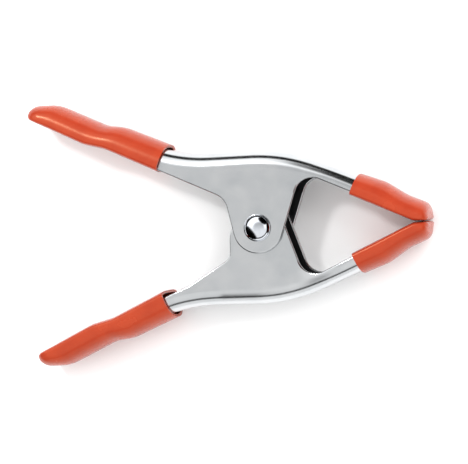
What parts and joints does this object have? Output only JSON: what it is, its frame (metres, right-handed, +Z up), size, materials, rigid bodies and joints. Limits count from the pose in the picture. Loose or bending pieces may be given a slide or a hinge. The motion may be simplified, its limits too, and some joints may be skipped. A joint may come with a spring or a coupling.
{
  "type": "spring clamp",
  "caption": "Hand spring clamp of two crossed pressed-steel channels on a rivet, with a torsion spring inside and vinyl sleeves on the handles and jaws.",
  "frame": {"origin": "on the rivet's axis, in the plane that the clamp rests on when it lies on its side", "axes": "+X from the rivet to the jaws, +Y towards the outer arm, +Z up along the rivet to its domed head"},
  "size_m": [0.1683, 0.111, 0.024],
  "materials": {
    "plated_sheet": "satin zinc plate",
    "rivet_steel": "bright zinc plate",
    "spring_wire": "drawn wire",
    "vinyl": "soft orange vinyl, semi-gloss"
  },
  "bodies": {
    "outer_half": {"outer_arm": "plated_sheet", "outer_grip": "vinyl", "outer_jaw_tip": "vinyl", "pivot_rivet": "rivet_steel", "torsion_spring": "spring_wire"},
    "inner_half": {"inner_arm": "plated_sheet", "inner_grip": "vinyl", "inner_jaw_tip": "vinyl"}
  },
  "joints": [
    {"name": "jaw_pivot", "type": "hinge", "parent": "outer_half", "child": "inner_half", "pos_m": [0, 0, 0.0115], "axis": [0, 0, -1], "range_deg": [0, 44], "stiffness_Nm_per_rad": 1.6, "springref_deg": -21.77, "deforming": ["torsion_spring"]}
  ]
}
